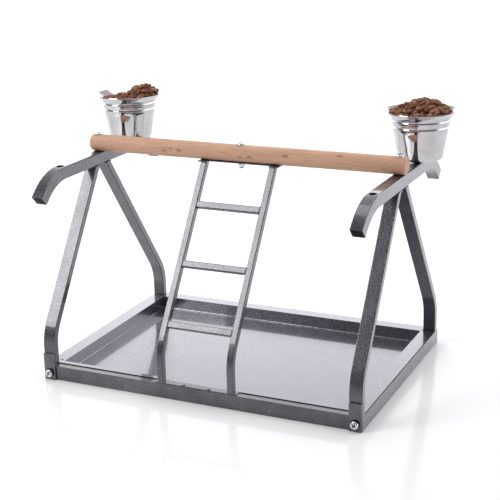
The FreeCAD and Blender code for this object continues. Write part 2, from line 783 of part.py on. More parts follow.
def hex_nut():
    """A hexagon nut from Z = 0 upwards, bored for its screw."""
    blank = primitive("Prism", Height="nut_height", Circumradius="nut_width / 2 / cos(30)")
    blank.Polygon = 6
    hole = primitive("Cylinder", Radius="screw_width / 2 + thread_gap", Height="nut_height")
    return join("Cut", blank, hole)


def washer():
    disc = primitive("Cylinder", Radius="washer_width / 2", Height="washer_thickness")
    hole = primitive("Cylinder", Radius=SCREW_HOLE, Height="washer_thickness")
    return join("Cut", disc, hole)


corner_screws = []
corner_washers = []
corner_nuts = []
grip = "(washer_thickness + lap_thickness + rail_wall + nut_height + screw_excess)"
for sign in ("-", ""):
    spot = {"x": f"{sign}{LEG_SIDE}", "z": "rail_height / 2", "axis": X_AXIS, "turn": "90"}
    screw = pan_screw("head", "screw_width", grip)
    corner_screws.append(place(screw, y=f"-{CORNER_SCREW_SEAT}", **spot))
    corner_washers.append(place(washer(), y="-(base_depth / 2 + lap_thickness)", **spot))
    corner_nuts.append(place(hex_nut(), y="-(base_depth / 2 - rail_wall - nut_height)", **spot))
group("corner_screws", corner_screws)
group("corner_washers", corner_washers)
group("corner_nuts", corner_nuts)

perch_screws = []
perch_nuts = []
through = f"({SEAT} - arm_height + tube_wall + nut_height + screw_excess)"
for sign in ("-", ""):
    across = f"{sign}{SIDE}"
    perch_screws.append(place(pan_screw("head", "screw_width", through), x=across, z=SEAT))
    perch_nuts.append(place(hex_nut(), x=across, z="arm_height - tube_wall - nut_height"))
group("perch_end_screws", perch_screws)
group("perch_end_nuts", perch_nuts)

centre_reach = f"({SEAT} - {LADDER_TOP} + cap_nut_height - cap_nut_cover - screw_excess)"
centre_bolt = pan_screw("head", "screw_width", centre_reach)
place(node("perch_centre_bolt", centre_bolt), z=SEAT)

dome_height = "(cap_nut_height - nut_height)"
dome = primitive("Ellipsoid", Radius1=dome_height, Radius2="nut_width / 2", Radius3="nut_width / 2")
dome.Angle1 = 0
dome_bore = primitive("Cylinder", Radius="screw_width / 2 + thread_gap",
                      Height=f"{dome_height} - cap_nut_cover")
hollow_dome = place(join("Cut", dome, dome_bore), z="nut_height")
cap_nut = join("MultiFuse", hex_nut(), hollow_dome)
place(node("perch_cap_nut", cap_nut), z=LADDER_TOP, axis=X_AXIS, turn="180")


def rivet():
    """A blind rivet, seat at Z = 0, with its drawn tail below the wall."""
    head = primitive("Cylinder", Radius="rivet_head_width / 2", Height="rivet_head_height")
    reach = "(ladder_plate_thickness + rail_wall + rivet_tail_length)"
    shank = place(primitive("Cylinder", Radius="rivet_width / 2", Height=reach), z=f"-{reach}")
    tail = primitive("Cylinder", Radius="rivet_tail_width / 2", Height="rivet_tail_length")
    place(tail, z=f"-{reach}")
    return join("MultiFuse", head, shank, tail)


rivets = [place(rivet(), x=f"{sign}foot_rivet_reach", y=f"-{FOOT_RIVET_ROW}", z=LADDER_FOOT)
          for sign in ("-", "")]
group("ladder_foot_rivets", rivets)

for side, sign in (("left", "-"), ("right", "")):
    spot = {"x": f"{sign}{SIDE}", "y": "cup_reach"}
    place(spigot(f"{side}_cup_spigot"), z="arm_height", **spot)
    place(cup(f"{side}_cup"), z="arm_height + spigot_flange", **spot)
    screw = pan_screw("cup_head", "cup_screw_width", "(cup_wall + cup_screw_reach)")
    place(node(f"{side}_cup_screw", screw), z="arm_height + spigot_flange + cup_wall", **spot)

# --------------------------------------------------------------------------- check and export
doc.removeObject(gauge.Name)
doc.recompute()
for item in doc.Objects:
    if "Invalid" in item.State or "Error" in item.State:
        raise RuntimeError(f"{item.Label} failed: {item.State}")
    if item.TypeId == "Sketcher::SketchObject" and not item.FullyConstrained:
        raise RuntimeError(f"{item.Label} is not fully constrained")
for item in nodes:
    if item.Shape.isNull() or not item.Shape.isValid() or not item.Shape.Solids:
        raise RuntimeError(f"{item.Label} has no valid shape")

os.makedirs("parts", exist_ok=True)
for item in nodes:
    item.Shape.exportStep(f"parts/{item.Label}.step")
    print(f"{item.Label}: {len(item.Shape.Solids)} solid(s), {item.Shape.Volume / 1000:.2f} cm3")
print(len(nodes), "nodes")
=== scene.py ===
"""The parrot play stand's looks: grey hammered powder coat, a wooden perch, mirror-polished
cups full of pellets, zinc screws and black plastic, on a white studio floor.

The stand's own sizes come from the loaded frame. Sizes named here are in millimetres, and the
studio's in metres."""
import itertools
import json
import math
import random

import bpy
from mathutils import Matrix, Vector


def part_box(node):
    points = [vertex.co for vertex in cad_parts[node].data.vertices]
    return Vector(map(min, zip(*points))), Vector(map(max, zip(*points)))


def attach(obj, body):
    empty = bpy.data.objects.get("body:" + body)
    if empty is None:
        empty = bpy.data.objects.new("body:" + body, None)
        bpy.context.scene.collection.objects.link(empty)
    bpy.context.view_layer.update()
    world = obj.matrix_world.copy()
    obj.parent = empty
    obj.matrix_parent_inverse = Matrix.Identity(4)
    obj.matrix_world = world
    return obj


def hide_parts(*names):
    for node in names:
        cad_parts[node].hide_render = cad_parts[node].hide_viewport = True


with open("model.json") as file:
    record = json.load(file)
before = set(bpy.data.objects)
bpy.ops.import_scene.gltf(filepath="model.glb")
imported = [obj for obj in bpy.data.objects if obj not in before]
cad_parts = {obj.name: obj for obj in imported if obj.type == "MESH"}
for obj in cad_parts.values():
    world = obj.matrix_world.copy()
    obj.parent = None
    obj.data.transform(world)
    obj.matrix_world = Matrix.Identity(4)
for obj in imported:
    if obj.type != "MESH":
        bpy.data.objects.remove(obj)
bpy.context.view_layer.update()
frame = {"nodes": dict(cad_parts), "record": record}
NODES = frame["nodes"]
MM = 0.001

# ------------------------------------------------------------------------------- the camera
CAMERA_PLACE = Vector((818.7, -1720.1, 784.6)) * MM
CAMERA_YAW = 0.439
CAMERA_PITCH = -0.301
CAMERA_ROLL = -0.026
CAMERA_LENS = 87.4
SENSOR_WIDTH = 36

# ----------------------------------------------------------- sizes that only the looks need
CUP_SIDES = 144
CUP_WALL = 0.8
CUP_BASE_RADIUS = 36
CUP_NECK_RADIUS = 47.5
CUP_RIM_RADIUS = 59
CUP_CORNER_RADIUS = 7
CUP_BOTTOM_RADII = (2.2, 10, 24)
CUP_FIRST_RISE = 6
CUP_WALL_RISES = (22, 34, 44)
CUP_BEAD_HEIGHT = 5
CUP_BEAD_PROUD = 1.0
CUP_BEAD_RISES = (52, 62.5)
LIP_HEIGHT = 11
LIP_CURVE = 1.25
LIP_ROLL = 0.9
CURVE_STEPS = 8
ROLL_STEPS = 6

PELLET_WIDTH = 8.0
HEAP_UNEVENNESS = 2.4
HEAP_REACH = 54
HEAP_NECK = 47
HEAP_FLARE = 8
HEAP_LAYERS = 3
PELLET_SHAPES = 6
# shares of a pellet's width and of the pitch that they lie at, then turns in radians
PELLET_FORM = (1.12, 0.98, 0.80)
PELLET_LUMPS = 0.13
PELLET_SIZES = (0.82, 1.12)
PELLET_PITCH = PELLET_WIDTH * 0.86
HEAP_CLEARANCE = PELLET_WIDTH * 0.62
PELLET_STRAY = 0.28
HEAP_SQUEEZE = 0.9
HEAP_ROW_STEP = 0.88
HEAP_LAYER_STEP = 0.72
PELLET_SPIN = 6.28
PELLET_TILT = 1.2

PERCH_SIDES = 96
PERCH_CHAMFER = 3.5
SEAT_CLEARANCE = 0.2
SEAT_CUT = 8

HEAD_SIDES = 48
HEAD_WIDTH = 13
HEAD_HEIGHT = 4
HEAD_LOWER_EDGE = 0.25
RECESS_WIDTH = 8
RECESS_SLOT = 2
RECESS_HEIGHT = 4.4
DISC_RADIUS = 7.25
DISC_THICKNESS = 2
DISC_EDGE = 0.5
NUT_HEIGHT = 5
NUT_EDGE = 0.5
DOME_SINK = 0.5
DOME_SIDES = 40
DOME_STEPS = 9
# shares of the head's height, of the recess and of the nut's radius; two of them place the black
# form that is painted shade in each recess
HEAD_DOME = 0.62
RECESS_SHADE_LEVEL = 0.46
RECESS_SHADE_SHRINK = (0.96, 0.96, 0.5)
RECESS_TAPER = 0.45
DOME_SHARE = 0.92
# how far each head was turned when it was tight, in radians: left and right
CORNER_SPINS = ((-1, 0.4), (1, 0.2))
PERCH_SPIN = 0.5

TUBE_SIDE = 20
ARM_DROP_ANGLE = math.radians(43)
CAP_WIDTH = 17.4
CAP_DEPTH = 6
CAP_EDGE = 0.7
CAP_SETBACK = 1.6

WELD_RADIUS = 1.3
WELD_PITCH = 1.7
WELD_SIDES = 10
LEG_TOP_DEPTH = 13.3
LEG_WELD_DROP = 0.4
LADDER_LEAN = math.radians(34.2)
LADDER_TOP_DEPTH = 12.9
RUNG_REACH = 5.1
# how much a weld narrows and widens from ripple to ripple
WELD_NARROW = 0.86
WELD_WIDE = 1.16

# Painted shade: the tray's colour is darkened along its edges, for the shadow in the gap at the
# flange's edge, from the first distance in from the edge to the second.
GAP_SHADE_START = 0.5
GAP_SHADE_FULL = 0.2

# Points nearer than this to a height or an end count as lying there.
CLOSE_BY = 0.1

# Small knots in the perch: where they are, and how wide.
KNOTS = [(-133, -14, 354, 0.6), (-121, -14, 358, 0.2), (-106, -14, 356, 1.2), (4, -13, 352, 0.4),
         (20, -13, 354, 1.0), (82, -13, 360, 1.1), (172, -10, 366, 0.7)]
# The grain draws them out: along the perch, a distance from a knot counts by this share only.
KNOT_STRETCH = 0.45


# --------------------------------------------------------------------------- shader language
class Value:
    """A shader socket that takes part in plain sums. Each operation adds its Math node."""

    def __init__(self, finish, socket):
        self.finish = finish
        self.socket = socket

    def maths(self, operation, *others):
        return self.finish.add("Math", {"operation": operation}, [self, *others])

    def __add__(self, other):
        return self.maths("ADD", other)

    def __radd__(self, other):
        return self.maths("ADD", other)

    def __sub__(self, other):
        return self.maths("SUBTRACT", other)

    def __rsub__(self, other):
        return self.finish.add("Math", {"operation": "SUBTRACT"}, [other, self])

    def __mul__(self, other):
        return self.maths("MULTIPLY", other)

    def __rmul__(self, other):
        return self.maths("MULTIPLY", other)

    def clamp(self):
        return self.maths("MINIMUM", 1).maths("MAXIMUM", 0)


class Finish:
    """One material's nodes: add() makes a node and gives back its first output."""

    def __init__(self, name, tree=None):
        if tree is None:
            self.material = bpy.data.materials.new(name)
            self.material.use_nodes = True
            tree = self.material.node_tree
        self.tree = tree
        self.tree.nodes.clear()

    def link(self, socket, value):
        if isinstance(value, Value):
            self.tree.links.new(value.socket, socket)
        elif socket.type == "RGBA" and len(value) == 3:
            socket.default_value = (*value, 1)
        else:
            socket.default_value = value

    def node(self, kind, settings=None, values=None):
        """A node with its settings made first, then its sockets, by place or by name."""
        made = self.tree.nodes.new("ShaderNode" + kind)
        for name, setting in (settings or {}).items():
            if name == "stops":
                ramp = made.color_ramp
                while len(ramp.elements) < len(setting):
                    ramp.elements.new(1)
                for element, (place, colour) in zip(ramp.elements, setting):
                    element.position = place
                    element.color = (*colour, 1)
            else:
                setattr(made, name, setting)
        named = values.items() if isinstance(values, dict) else enumerate(values or [])
        for key, value in named:
            self.link(made.inputs[key], value)
        return made

    def add(self, kind, settings=None, values=None, output=0):
        return Value(self, self.node(kind, settings, values).outputs[output])

    def place(self, stretch=(1, 1, 1), shift=(0, 0, 0)):
        """The point being shaded, in millimetres of the object, stretched and shifted."""
        coordinates = self.add("TexCoord", output="Object")
        scale = [number / MM for number in stretch]
        return self.add("Mapping", None, {"Vector": coordinates, "Scale": scale, "Location": shift})

    def noise(self, size, detail=2.0, roughness=0.5, **place):
        """Soft noise from 0 to 1 whose lumps are about size millimetres wide."""
        return self.add("TexNoise", None, {"Vector": self.place(**place), "Scale": 1 / size,
                                           "Detail": detail, "Roughness": roughness})

    def blend(self, amount, first, second):
        """Two colours mixed by an amount.

        A Mix node has sockets for every kind of value. The seventh, the eighth and the third
        output are its colours."""
        mixed = self.node("Mix", {"data_type": "RGBA"})
        for socket, value in zip((mixed.inputs[0], mixed.inputs[6], mixed.inputs[7]),
                                 (amount, first, second)):
            self.link(socket, value)
        return Value(self, mixed.outputs[2])

    def ramp(self, amount, *stops):
        return self.add("ValToRGB", {"stops": stops}, [amount])

    def range(self, value, low, high, to_low=0, to_high=1):
        return self.add("MapRange", {"interpolation_type": "SMOOTHSTEP"},
                        [value, low, high, to_low, to_high])

    def bump(self, height, depth, under=None):
        """Relief in millimetres, on top of an earlier relief."""
        values = {"Height": height, "Distance": depth * MM, "Strength": 1.0}
        if under:
            values["Normal"] = under
        return self.add("Bump", None, values)

    def surface(self, **sockets):
        """The principled surface; underscores in the names stand for spaces."""
        values = {name.replace("_", " "): value for name, value in sockets.items()}
        shader = self.add("BsdfPrincipled", None, values)
        self.node("OutputMaterial", None, {"Surface": shader})
        return self.material


def srgb(red, green, blue):
    """A colour as it looks on screen, 0 to 255, in the light's own scale."""
    def linear(part):
        part = part / 255
        return part / 12.92 if part <= 0.04045 else ((part + 0.055) / 1.055) ** 2.4
    return linear(red), linear(green), linear(blue)


# --------------------------------------------------------------------------------- finishes
def powder_coat(name, grain, depth, metal, coat, dark, light, edges=None):
    """Grey metallic powder coat: hammered dimples, a grain wide, under a clear gloss.

    With edges given, a painted shade darkens and dulls a thin band along the sheet's edges, standing
    in for the shadow in the gap there. edges says how far from the origin they lie: at both sides,
    in front and behind."""
    finish = Finish(name)
    dimples = finish.noise(grain, detail=1.0, roughness=0.5)
    waves = finish.noise(9, detail=1.0)
    fleck = finish.noise(0.8, detail=0.0)
    mottle = finish.noise(34, detail=3.0, roughness=0.6)
    tone = finish.range(mottle, 0.3, 0.7)
    colour = finish.blend(tone, srgb(*dark), srgb(*light))
    colour = finish.blend(finish.range(fleck, 0.55, 0.75) * 0.2, colour, srgb(150, 149, 158))
    gloss = 1.0
    gap_shade_dullness = 0.0
    if edges:
        parts = finish.node("SeparateXYZ", None, [finish.place()])
        east, north = (Value(finish, parts.outputs[axis]) for axis in ("X", "Y"))
        side, front, rear = edges
        # painted shade: a mask along the tray's edges, for the shadow in the gap at the flange's
        # edge
        painted_gap_shade = (finish.range(east.maths("ABSOLUTE"), side - GAP_SHADE_START, side - GAP_SHADE_FULL)
                    + finish.range(north, -front + GAP_SHADE_START, -front + GAP_SHADE_FULL)
                    + finish.range(north, rear - GAP_SHADE_START, rear - GAP_SHADE_FULL)).clamp()
        # the painted shade is near-black, with less gloss and metal and a rougher surface
        colour = finish.blend(painted_gap_shade, colour, srgb(22, 22, 24))
        gloss = 1 - painted_gap_shade
        metal = gloss * metal
        gap_shade_dullness = painted_gap_shade * 0.6
    pits = finish.range(dimples, 0.35, 0.65)
    relief = finish.bump(pits, depth)
    relief = finish.bump(waves, depth * 0.6, relief)
    return finish.surface(Base_Color=colour, Metallic=metal, IOR=1.6, Normal=relief,
                          Roughness=finish.range(pits, 0.2, 0.8, 0.24, 0.32) + gap_shade_dullness,
                          Coat_Weight=gloss, Coat_Roughness=0.06, Coat_IOR=coat)


def polished_steel():
    """Spun stainless steel, polished: faint rings of the spinning, slight dents and smears."""
    finish = Finish("polished_steel")
    rings = finish.noise(0.6, detail=1.0, stretch=(0.02, 0.02, 1))
    dents = finish.noise(14, detail=1.0)
    smears = finish.noise(22, detail=4.0, roughness=0.65)
    relief = finish.bump(rings, 0.003)
    relief = finish.bump(dents, 0.12, relief)
    colour = finish.blend(finish.range(smears, 0.4, 0.7), (0.60, 0.59, 0.60), (0.52, 0.51, 0.52))
    return finish.surface(Base_Color=colour, Metallic=1.0, Normal=relief,
                          Roughness=finish.range(smears, 0.35, 0.75, 0.05, 0.14))


def beech_wood():
    """Pale sanded hardwood: long grain, short pores and a few knots."""
    finish = Finish("beech_wood")
    slow = finish.noise(26, detail=3.0, stretch=(0.10, 1, 1))
    grain = finish.noise(1.6, detail=5.0, roughness=0.7, stretch=(0.05, 1, 1))
    pores = finish.noise(0.7, detail=1.0, stretch=(0.16, 1, 1), shift=(31, 7, 3))
    colour = finish.blend(finish.range(slow, 0.3, 0.7), srgb(222, 177, 149), srgb(205, 160, 132))
    colour = finish.blend(finish.range(grain, 0.42, 0.72) * 0.55, colour, srgb(176, 130, 102))
    colour = finish.blend(finish.range(pores, 0.62, 0.72) * 0.5, colour, srgb(134, 94, 70))
    point = finish.place(stretch=(KNOT_STRETCH, 1, 1))
    ragged = finish.noise(2.5, detail=2.0) * 2.4
    for across, along, level, size in KNOTS:
        away = finish.add("VectorMath", {"operation": "DISTANCE"},
                          [point, (across * KNOT_STRETCH, along, level)], output="Value")
        colour = finish.blend(finish.range(away + ragged, size + 1.0, size + 3.8, 0.55, 0),
                              colour, srgb(112, 70, 50))
    relief = finish.bump(grain, 0.05)
    relief = finish.bump(pores, -0.06, relief)
    return finish.surface(Base_Color=colour, Roughness=finish.range(grain, 0.3, 0.7, 0.48, 0.62),
                          Specular_IOR_Level=0.35, Normal=relief)


def zinc_plate():
    """Bright blue-passivated zinc on small steel fasteners."""
    finish = Finish("zinc_plate")
    haze = finish.noise(3.5, detail=3.0)
    grit = finish.noise(0.5, detail=1.0)
    colour = finish.blend(finish.range(haze, 0.3, 0.7), (0.66, 0.73, 0.80), (0.78, 0.80, 0.80))
    return finish.surface(Base_Color=colour, Metallic=1.0, Normal=finish.bump(grit, 0.012),
                          Roughness=finish.range(haze, 0.3, 0.7, 0.18, 0.32))


def black_plastic():
    """Moulded black plastic with a fine matt grain."""
    finish = Finish("black_plastic")
    grain = finish.noise(0.45, detail=2.0)
    scuffs = finish.noise(7, detail=4.0, roughness=0.7)
    colour = finish.blend(finish.range(scuffs, 0.5, 0.8), (0.004, 0.004, 0.004),
                          (0.012, 0.012, 0.012))
    return finish.surface(Base_Color=colour, Specular_IOR_Level=0.12,
                          Roughness=finish.range(scuffs, 0.3, 0.8, 0.38, 0.55),
                          Normal=finish.bump(grain, 0.02))


def kibble():
    """Baked pellets: every pellet its own brown, with a crumbly skin."""
    finish = Finish("kibble")
    own = finish.add("Attribute", {"attribute_name": "pellet_tone"}, output="Fac")
    crumbs = finish.noise(1.4, detail=4.0, roughness=0.7)
    patches = finish.noise(3.2, detail=1.0)
    colour = finish.ramp(own, (0.0, srgb(100, 54, 34)), (0.35, srgb(136, 82, 54)),
                         (0.7, srgb(158, 104, 70)), (1.0, srgb(184, 134, 96)))
    colour = finish.blend(finish.range(crumbs, 0.35, 0.62) * -0.45 + 0.45, colour, srgb(58, 30, 20))
    colour = finish.blend(finish.range(patches, 0.56, 0.7) * 0.5, colour, srgb(204, 160, 120))
    return finish.surface(Base_Color=colour, Roughness=0.62, Specular_IOR_Level=0.4,
                          Normal=finish.bump(crumbs, 0.6))


def studio_floor():
    """White gloss sheet with a little light of its own: it keeps the stand's shadow and a faint
    mirror image."""
    finish = Finish("studio_floor")
    haze = finish.noise(60, detail=2.0)
    return finish.surface(Base_Color=(0.99, 0.99, 0.985), Specular_IOR_Level=0.5,
                          Emission_Color=(1, 1, 1), Emission_Strength=0.05,
                          Roughness=finish.range(haze, 0.3, 0.7, 0.10, 0.12))


# ------------------------------------------------------------------------- modelling by hand
def leave_edit():
    bpy.ops.object.mode_set(mode="OBJECT")


def deselect():
    if bpy.context.object and bpy.context.object.mode == "EDIT":
        leave_edit()
    bpy.ops.object.select_all(action="DESELECT")


def choose(piece):
    """Make a piece the active one and the only one selected."""
    deselect()
    piece.select_set(True)
    bpy.context.view_layer.objects.active = piece


def start(kind, name, **settings):
    """A new primitive, alone in the selection."""
    deselect()
    getattr(bpy.ops.mesh, f"primitive_{kind}_add")(**settings)
    piece = bpy.context.object
    piece.name = name
    piece.data.name = name
    return piece


def edit(piece, how="VERT"):
    choose(piece)
    bpy.ops.object.mode_set(mode="EDIT")
    bpy.ops.mesh.select_mode(type=how)


def pick(piece, how, test):
    """Select, in edit mode, the faces or edges that pass a test of their points."""
    edit(piece, how)
    bpy.ops.mesh.select_all(action="DESELECT")
    leave_edit()
    points = [vertex.co for vertex in piece.data.vertices]
    items = piece.data.polygons if how == "FACE" else piece.data.edges
    for item in items:
        item.select = test([points[number] for number in item.vertices])
    bpy.ops.object.mode_set(mode="EDIT")


def extrude(shift):
    bpy.ops.mesh.extrude_region_move(TRANSFORM_OT_translate={"value": shift})


def modify(piece, kind, **settings):
    """Add a modifier and apply it at once."""
    choose(piece)
    modifier = piece.modifiers.new(kind.title(), kind)
    for name, value in settings.items():
        setattr(modifier, name, value)
    bpy.ops.object.modifier_apply(modifier=modifier.name)


def settle(piece):
    """Put the piece's place into its mesh, so that its object sits at the origin."""
    choose(piece)
    bpy.ops.object.transform_apply(location=True, rotation=True, scale=True)
    return piece


def copy_of(piece, name, matrix):
    """A copy with a mesh of its own, moved by a matrix."""
    twin = piece.copy()
    twin.data = piece.data.copy()
    twin.name = name
    twin.data.name = name
    bpy.context.collection.objects.link(twin)
    twin.data.transform(matrix)
    return twin


def join(pieces, name):
    deselect()
    for piece in pieces:
        piece.select_set(True)
    bpy.context.view_layer.objects.active = pieces[0]
    if len(pieces) > 1:
        bpy.ops.object.join()
    whole = bpy.context.view_layer.objects.active
    whole.name = name
    whole.data.name = name
    return whole


def close_up(piece):
    """Merge doubled points and turn every face outwards."""
    edit(piece)
    bpy.ops.mesh.select_all(action="SELECT")
    bpy.ops.mesh.remove_doubles(threshold=0.00001)
    bpy.ops.mesh.normals_make_consistent(inside=False)
    leave_edit()


def dress(piece, material, body, angle):
    """Smooth the shading, give the finish, and let the piece ride on its body."""
    choose(piece)
    bpy.ops.object.shade_smooth_by_angle(angle=math.radians(angle))
    piece.data.materials.clear()
    piece.data.materials.append(material)
    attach(piece, body)


def resize_all(piece, factors, centre=(0, 0, 0)):
    edit(piece)
    bpy.ops.mesh.select_all(action="SELECT")
    bpy.ops.transform.resize(value=factors, center_override=centre)
    leave_edit()


def repaint(node, material):
    for slot in NODES[node].material_slots:
        slot.material = material


def ring_form(name, rings, centre, sides):
    """A turned form, drawn up ring by ring from (radius, height) pairs in millimetres."""
    radius, height = rings[0]
    base = centre + Vector((0, 0, height * MM))
    piece = start("circle", name, vertices=sides, radius=radius * MM, location=base)
    edit(piece)
    bpy.ops.mesh.select_all(action="SELECT")
    for next_radius, next_height in rings[1:]:
        extrude((0, 0, (next_height - height) * MM))
        growth = next_radius / radius
        middle = centre + Vector((0, 0, next_height * MM))
        bpy.ops.transform.resize(value=(growth, growth, 1), center_override=middle)
        radius, height = next_radius, next_height
    leave_edit()
    return settle(piece)


# ------------------------------------------------------------------------------------- cups
def cup_rings(height):
    """The outside of a cup, from the screw's hole in its bottom to its rolled lip."""
    neck_height = height - LIP_HEIGHT
    slope = (CUP_NECK_RADIUS - CUP_BASE_RADIUS) / neck_height
    corner = CUP_CORNER_RADIUS
    corner_centre = CUP_BASE_RADIUS + slope * corner - corner * math.hypot(1, slope)
    rings = [(radius, 0) for radius in CUP_BOTTOM_RADII]
    for step in range(CURVE_STEPS + 1):
        turn = (math.pi / 2 - math.atan(slope)) * step / CURVE_STEPS
        rings.append((corner_centre + corner * math.sin(turn), corner - corner * math.cos(turn)))
    climb = [rings[-1][1] + CUP_FIRST_RISE, *CUP_WALL_RISES]
    rings += [(CUP_BASE_RADIUS + slope * rise, rise) for rise in climb]
    for middle in CUP_BEAD_RISES:
        for step in range(CURVE_STEPS + 1):
            share = step / CURVE_STEPS
            rise = middle + (share - 0.5) * CUP_BEAD_HEIGHT
            proud = CUP_BEAD_PROUD * math.sin(math.pi * share) ** 1.5
            rings.append((CUP_BASE_RADIUS + slope * rise + proud, rise))
    for step in range(CURVE_STEPS + 1):
        share = step / CURVE_STEPS
        rise = neck_height + share * (height - neck_height - LIP_ROLL)
        flare = (CUP_RIM_RADIUS - LIP_ROLL - CUP_NECK_RADIUS) * share ** LIP_CURVE
        rings.append((CUP_NECK_RADIUS + flare, rise))
    for step in range(1, ROLL_STEPS + 1):
        turn = -math.pi / 2 + math.pi * step / ROLL_STEPS
        rings.append((CUP_RIM_RADIUS - LIP_ROLL + LIP_ROLL * math.cos(turn),
                      height - LIP_ROLL + LIP_ROLL * math.sin(turn)))
    return rings


def cup(side, steel):
    """A spun cup. It gives back the middle of the rim, where the food goes."""
    low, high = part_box(f"{side}_cup")
    centre = Vector(((low.x + high.x) / 2, (low.y + high.y) / 2, low.z))
    rings = cup_rings((high.z - low.z) / MM)
    piece = ring_form(f"{side}_cup_shell", rings, centre, CUP_SIDES)
    close_up(piece)
    modify(piece, "SOLIDIFY", thickness=CUP_WALL * MM, offset=-1, use_even_offset=True)
    dress(piece, steel, f"{side}_cup", angle=40)
    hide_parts(f"{side}_cup")
    return centre + Vector((0, 0, high.z - low.z))


def pellet_shapes(seed):
    """A handful of lumpy pellets, all about the same size."""
    shapes = []
    draw = random.Random(seed)
    for number in range(PELLET_SHAPES):
        piece = start("ico_sphere", f"pellet_shape_{number}", subdivisions=2,
                      radius=PELLET_WIDTH / 2 * MM)
        resize_all(piece, PELLET_FORM)
        for vertex in piece.data.vertices:
            vertex.co *= 1 + draw.uniform(-PELLET_LUMPS, PELLET_LUMPS)
        shapes.append(piece)
    return shapes


def heap_height(across, along, peak, crest, spread, edge, fullness):
    """Height of the food above the rim, in millimetres, at a place in the cup.

    The fuller the heap, the flatter its top and the steeper its sides."""
    distance = math.hypot(across - peak[0], (along - peak[1]) * HEAP_SQUEEZE)
    return edge + (crest - edge) * math.exp(-(distance / spread) ** fullness)


def food(side, rim_centre, material, seed, **heap):
    """A heap of pellets in a cup, in layers that follow the heap's surface."""
    draw = random.Random(seed)
    shapes = pellet_shapes(seed)
    pieces = []
    tones = []
    rows = int(HEAP_REACH / PELLET_PITCH) + 1
    span = range(-rows, rows + 1)
    for layer, row, column in itertools.product(range(HEAP_LAYERS), span, span):
        stray = draw.uniform(-PELLET_STRAY, PELLET_STRAY)
        across = (column + 0.5 * (row % 2) + stray) * PELLET_PITCH
        stray = draw.uniform(-PELLET_STRAY, PELLET_STRAY)
        along = (row * HEAP_ROW_STEP + stray) * PELLET_PITCH
        height = heap_height(across, along, **heap) - layer * PELLET_PITCH * HEAP_LAYER_STEP
        height += draw.uniform(-HEAP_UNEVENNESS, HEAP_UNEVENNESS)
        wall = HEAP_NECK + max(0, (height + LIP_HEIGHT) / LIP_HEIGHT) * HEAP_FLARE
        if math.hypot(across, along) > min(wall, HEAP_REACH) - HEAP_CLEARANCE:
            continue
        spin = Matrix.Rotation(draw.uniform(0, PELLET_SPIN), 4, "Z")
        tilt = Matrix.Rotation(draw.uniform(-PELLET_TILT, PELLET_TILT), 4, "X")
        size = Matrix.Scale(draw.uniform(*PELLET_SIZES), 4)
        place = Matrix.Translation(rim_centre + Vector((across, along, height)) * MM)
        shape = shapes[draw.randrange(len(shapes))]
        pieces.append(copy_of(shape, "pellet", place @ (spin @ tilt) @ size))
        tones.append(draw.random())
    for piece, tone in zip(pieces, tones):
        attribute = piece.data.attributes.new("pellet_tone", "FLOAT", "POINT")
        attribute.data.foreach_set("value", [tone] * len(piece.data.vertices))
    for shape in shapes:
        bpy.data.objects.remove(shape)
    dress(join(pieces, f"{side}_food"), material, f"{side}_cup", angle=60)


# ------------------------------------------------------------------------------------ perch
def perch(material):
    """The dowel, with soft chamfers at its ends and flat seats for the three heads."""
    low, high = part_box("perch")
    radius = (high.z - low.z) / 2
    middle = (low + high) / 2
    length = high.x - low.x
    piece = start("cylinder", "perch_dowel", vertices=PERCH_SIDES, radius=radius, depth=length,
                  location=middle, rotation=(0, math.pi / 2, 0))
    settle(piece)
    end = length / 2 - CLOSE_BY * MM
    pick(piece, "EDGE", lambda points: abs(points[0].x + points[1].x) / 2 > end)
    bpy.ops.mesh.bevel(offset=PERCH_CHAMFER * MM, segments=3, profile=0.6)
    leave_edit()
    screws_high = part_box("perch_end_screws")[1]
    seat = screws_high.z - HEAD_HEIGHT * MM
    reach = screws_high.x - HEAD_WIDTH / 2 * MM
    for across in (-reach, 0, reach):
        cutter = start("cylinder", "seat_cutter", vertices=HEAD_SIDES,
                       radius=(HEAD_WIDTH / 2 + SEAT_CLEARANCE) * MM,
                       depth=SEAT_CUT * MM, location=(across, 0, seat + SEAT_CUT / 2 * MM))
        settle(cutter)
        modify(piece, "BOOLEAN", operation="DIFFERENCE", object=cutter, solver="EXACT")
        bpy.data.objects.remove(cutter)
    dress(piece, material, "stand", angle=30)
    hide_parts("perch")


# --------------------------------------------------------------------------------- fasteners
def pan_head(name):
    """A cross-recessed pan head, its seat at the origin, facing up.

    With it comes a black cross-shaped form that lies in the recess as painted shade, keeping it
    dark."""
    piece = start("cylinder", name, vertices=HEAD_SIDES, radius=HEAD_WIDTH / 2 * MM,
                  depth=HEAD_HEIGHT * MM, location=(0, 0, HEAD_HEIGHT / 2 * MM))
    settle(piece)
    top = (HEAD_HEIGHT - CLOSE_BY) * MM
    pick(piece, "EDGE", lambda points: all(point.z > top for point in points))
    bpy.ops.mesh.bevel(offset=HEAD_HEIGHT * HEAD_DOME * MM, segments=6, profile=0.5)
    pick(piece, "EDGE", lambda points: all(point.z < CLOSE_BY * MM for point in points))
    bpy.ops.mesh.bevel(offset=HEAD_LOWER_EDGE * MM, segments=1)
    leave_edit()
    wings = []
    for turn in (45, 135):
        wing = start("cube", "wing", size=1, location=(0, 0, HEAD_HEIGHT * MM),
                     rotation=(0, 0, math.radians(turn)),
                     scale=(RECESS_WIDTH * MM, RECESS_SLOT * MM, RECESS_HEIGHT * MM))
        settle(wing)
        pick(wing, "FACE", lambda points: all(point.z < HEAD_HEIGHT * MM for point in points))
        bpy.ops.transform.resize(value=(RECESS_TAPER, RECESS_TAPER, 1), center_override=(0, 0, 0))
        leave_edit()
        wings.append(wing)
    for wing in wings:
        modify(piece, "BOOLEAN", operation="DIFFERENCE", object=wing, solver="EXACT")
    # the cutters, joined and shrunk, become the black form of painted shade that lies in the recess
    cross = join(wings, name + "_cross")
    resize_all(cross, RECESS_SHADE_SHRINK, (0, 0, HEAD_HEIGHT * RECESS_SHADE_LEVEL * MM))
    return piece, cross


